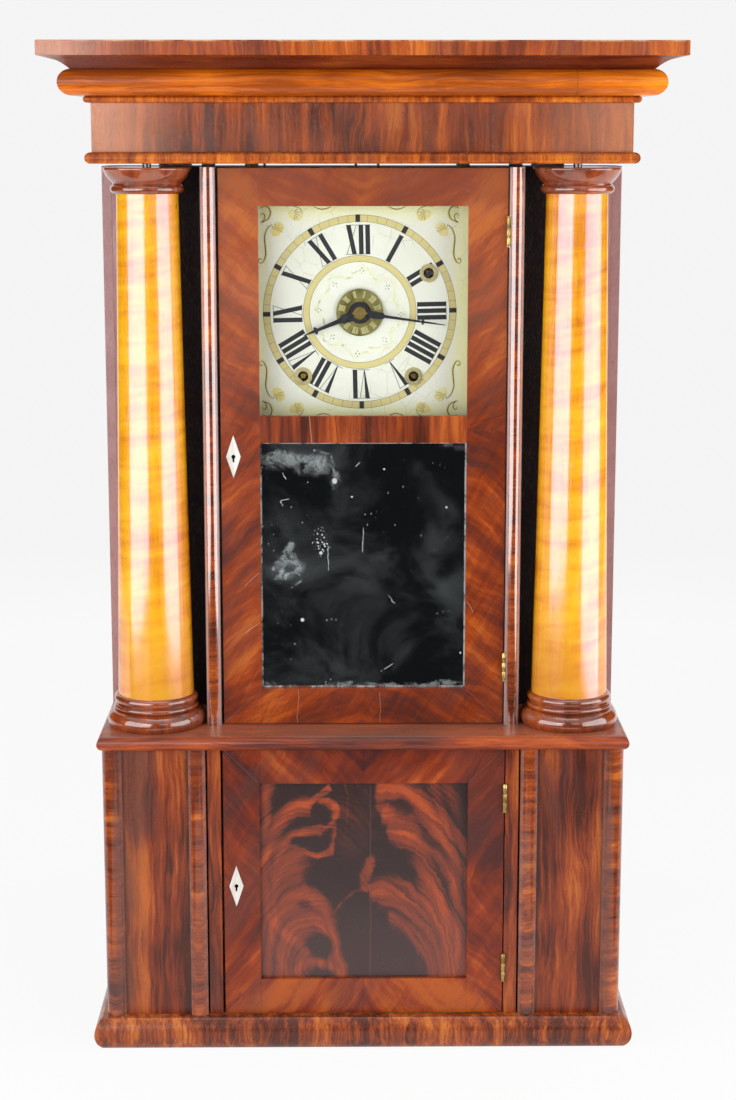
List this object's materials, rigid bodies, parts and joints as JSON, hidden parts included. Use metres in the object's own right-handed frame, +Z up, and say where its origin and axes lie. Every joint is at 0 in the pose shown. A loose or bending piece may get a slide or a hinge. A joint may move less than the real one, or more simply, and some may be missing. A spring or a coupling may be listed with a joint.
{
  "type": "triple decker shelf clock",
  "caption": "Three-tier mahogany shelf clock with maple columns, a painted dial, a mirror door, a panelled lower door and a weight-driven movement.",
  "frame": {"origin": "centre of the overall box, on the floor that the base moulding stands on", "axes": "+Z is up, the front with its doors faces -Y, +X is to the right seen from the front"},
  "size_m": [0.564, 0.2034, 0.933],
  "materials": {
    "veneer": "French-polished cross-banded mahogany veneer, worn and crazed",
    "mahogany": "polished solid mahogany, worn at its edges",
    "crotch": "polished crotch mahogany veneer, matched at its centre",
    "maple": "polished curly maple, darkened to honey",
    "pine": "plain softwood, darkened with age",
    "glass": "clear crown glass",
    "mirror": "old looking-glass with spots and worn edges",
    "brass": "aged brass",
    "steel": "dull steel",
    "blued_steel": "blued steel, darkened",
    "iron": "rough cast iron",
    "bone": "polished bone",
    "dial_paint": "painted wooden dial, cream with black numerals",
    "cord": "braided flax cord"
  },
  "bodies": {
    "case": {"backboard": "pine", "bottom_frame": "pine", "base_moulding": "veneer", "side_boards": "mahogany", "lower_front_boards": "mahogany", "mid_shelf": "mahogany", "column_backings": "mahogany", "door_box_walls": "mahogany", "half_rounds": "veneer", "inner_battens": "pine", "case_roof": "pine", "cornice_beads": "veneer", "cornice_frieze": "veneer", "cornice_bullnose": "mahogany", "cornice_splay": "mahogany", "cornice_top_board": "veneer", "cornice_soffit": "pine", "column_bases": "mahogany", "column_shafts": "maple", "column_capitals": "mahogany", "hinge_frame_leaves": "brass", "dial_board": "dial_paint", "dial_grommets": "brass", "movement_frame": "brass", "gong": "steel", "bell": "brass", "time_cord": "cord", "strike_cord": "cord"},
    "upper_door": {"upper_door_frame": "veneer", "dial_glass": "glass", "mirror_plate": "mirror", "mirror_backing": "pine", "upper_escutcheon": "bone", "upper_lock_case": "steel", "upper_hinge_leaves": "brass"},
    "upper_bolt": {"upper_lock_bolt": "brass"},
    "lower_door": {"lower_door_frame": "veneer", "lower_door_panel": "crotch", "lower_escutcheon": "bone", "lower_lock_case": "steel", "lower_hinge_leaves": "brass"},
    "lower_bolt": {"lower_lock_bolt": "brass"},
    "minute": {"centre_arbor": "brass", "minute_hand": "blued_steel"},
    "hour": {"hour_hand": "blued_steel"},
    "alarm_set": {"alarm_disc": "brass"},
    "escape": {"escape_wheel": "brass"},
    "pendulum": {"verge": "steel", "pendulum": "brass"},
    "time_weight": {"time_weight": "iron", "time_cord_fall": "cord"},
    "time_drum": {"time_drum": "brass"},
    "time_pulley": {"time_pulley": "mahogany"},
    "strike_weight": {"strike_weight": "iron", "strike_cord_fall": "cord"},
    "strike_drum": {"strike_drum": "brass"},
    "strike_pulley": {"strike_pulley": "mahogany"},
    "alarm_barrel": {"alarm_barrel": "brass"},
    "strike_hammer": {"strike_hammer": "steel"},
    "alarm_hammer": {"alarm_hammer": "steel"}
  },
  "joints": [
    {"name": "upper_door_swing", "type": "hinge", "parent": "case", "child": "upper_door", "pos_m": [0.1325, -0.0306, 0.56475], "axis": [0, 0, 1], "range_deg": [0, 110]},
    {"name": "upper_bolt_throw", "type": "slide", "parent": "upper_door", "child": "upper_bolt", "axis": [-1, 0, 0], "range_m": [0, 0.005]},
    {"name": "lower_door_swing", "type": "hinge", "parent": "case", "child": "lower_door", "pos_m": [0.1325, -0.0646, 0.161], "axis": [0, 0, 1], "range_deg": [0, 120]},
    {"name": "lower_bolt_throw", "type": "slide", "parent": "lower_door", "child": "lower_bolt", "axis": [-1, 0, 0], "range_m": [0, 0.005]},
    {"name": "minute_turn", "type": "hinge", "parent": "case", "child": "minute", "pos_m": [-0.0024, 0.0017, 0.6912], "axis": [0, 1, 0], "continuous": true},
    {"name": "hour_turn", "type": "hinge", "parent": "case", "child": "hour", "pos_m": [-0.0024, 0.0017, 0.6912], "axis": [0, 1, 0], "continuous": true},
    {"name": "alarm_disc_turn", "type": "hinge", "parent": "case", "child": "alarm_set", "pos_m": [-0.0024, 0.0017, 0.6912], "axis": [0, 1, 0], "continuous": true},
    {"name": "escape_turn", "type": "hinge", "parent": "case", "child": "escape", "pos_m": [-0.0284, 0.0397, 0.7282], "axis": [0, 1, 0], "continuous": true},
    {"name": "pendulum_swing", "type": "hinge", "parent": "case", "child": "pendulum", "pos_m": [-0.0284, 0.0327, 0.7472], "axis": [0, 1, 0], "range_deg": [-3, 3]},
    {"name": "time_weight_fall", "type": "slide", "parent": "case", "child": "time_weight", "axis": [0, 0, -1], "range_m": [-0.06, 0.46], "deforming": ["time_cord_fall"]},
    {"name": "time_drum_turn", "type": "hinge", "parent": "case", "child": "time_drum", "pos_m": [0.0476, 0.0617, 0.6316], "axis": [0, 1, 0], "range_deg": [-165, 1255]},
    {"name": "time_pulley_turn", "type": "hinge", "parent": "case", "child": "time_pulley", "pos_m": [0.1769, 0.0727, 0.824], "axis": [0, 1, 0], "range_deg": [-265, 2015]},
    {"name": "strike_weight_fall", "type": "slide", "parent": "case", "child": "strike_weight", "axis": [0, 0, -1], "range_m": [-0.06, 0.46], "deforming": ["strike_cord_fall"]},
    {"name": "strike_drum_turn", "type": "hinge", "parent": "case", "child": "strike_drum", "pos_m": [-0.0552, 0.0617, 0.6318], "axis": [0, 1, 0], "range_deg": [-1255, 165]},
    {"name": "strike_pulley_turn", "type": "hinge", "parent": "case", "child": "strike_pulley", "pos_m": [-0.1769, 0.0727, 0.824], "axis": [0, 1, 0], "range_deg": [-2015, 265]},
    {"name": "alarm_barrel_turn", "type": "hinge", "parent": "case", "child": "alarm_barrel", "pos_m": [0.0613, 0.0617, 0.7272], "axis": [0, 1, 0], "range_deg": [0, 1080]},
    {"name": "strike_hammer_lift", "type": "hinge", "parent": "case", "child": "strike_hammer", "pos_m": [-0.0124, 0.0827, 0.6012], "axis": [0, 1, 0], "range_deg": [0, 12]},
    {"name": "alarm_hammer_lift", "type": "hinge", "parent": "case", "child": "alarm_hammer", "pos_m": [0.0376, 0.0747, 0.7492], "axis": [0, 1, 0], "range_deg": [0, 20]}
  ],
  "couplings": [
    {"joint": "hour_turn", "follows": "minute_turn", "ratio": 0.083333},
    {"joint": "alarm_disc_turn", "follows": "minute_turn", "ratio": 0.083333},
    {"joint": "time_drum_turn", "follows": "time_weight_fall", "rad_per_m": 47.393},
    {"joint": "time_pulley_turn", "follows": "time_weight_fall", "rad_per_m": 76.336},
    {"joint": "strike_drum_turn", "follows": "strike_weight_fall", "rad_per_m": -47.393},
    {"joint": "strike_pulley_turn", "follows": "strike_weight_fall", "rad_per_m": -76.336}
  ]
}
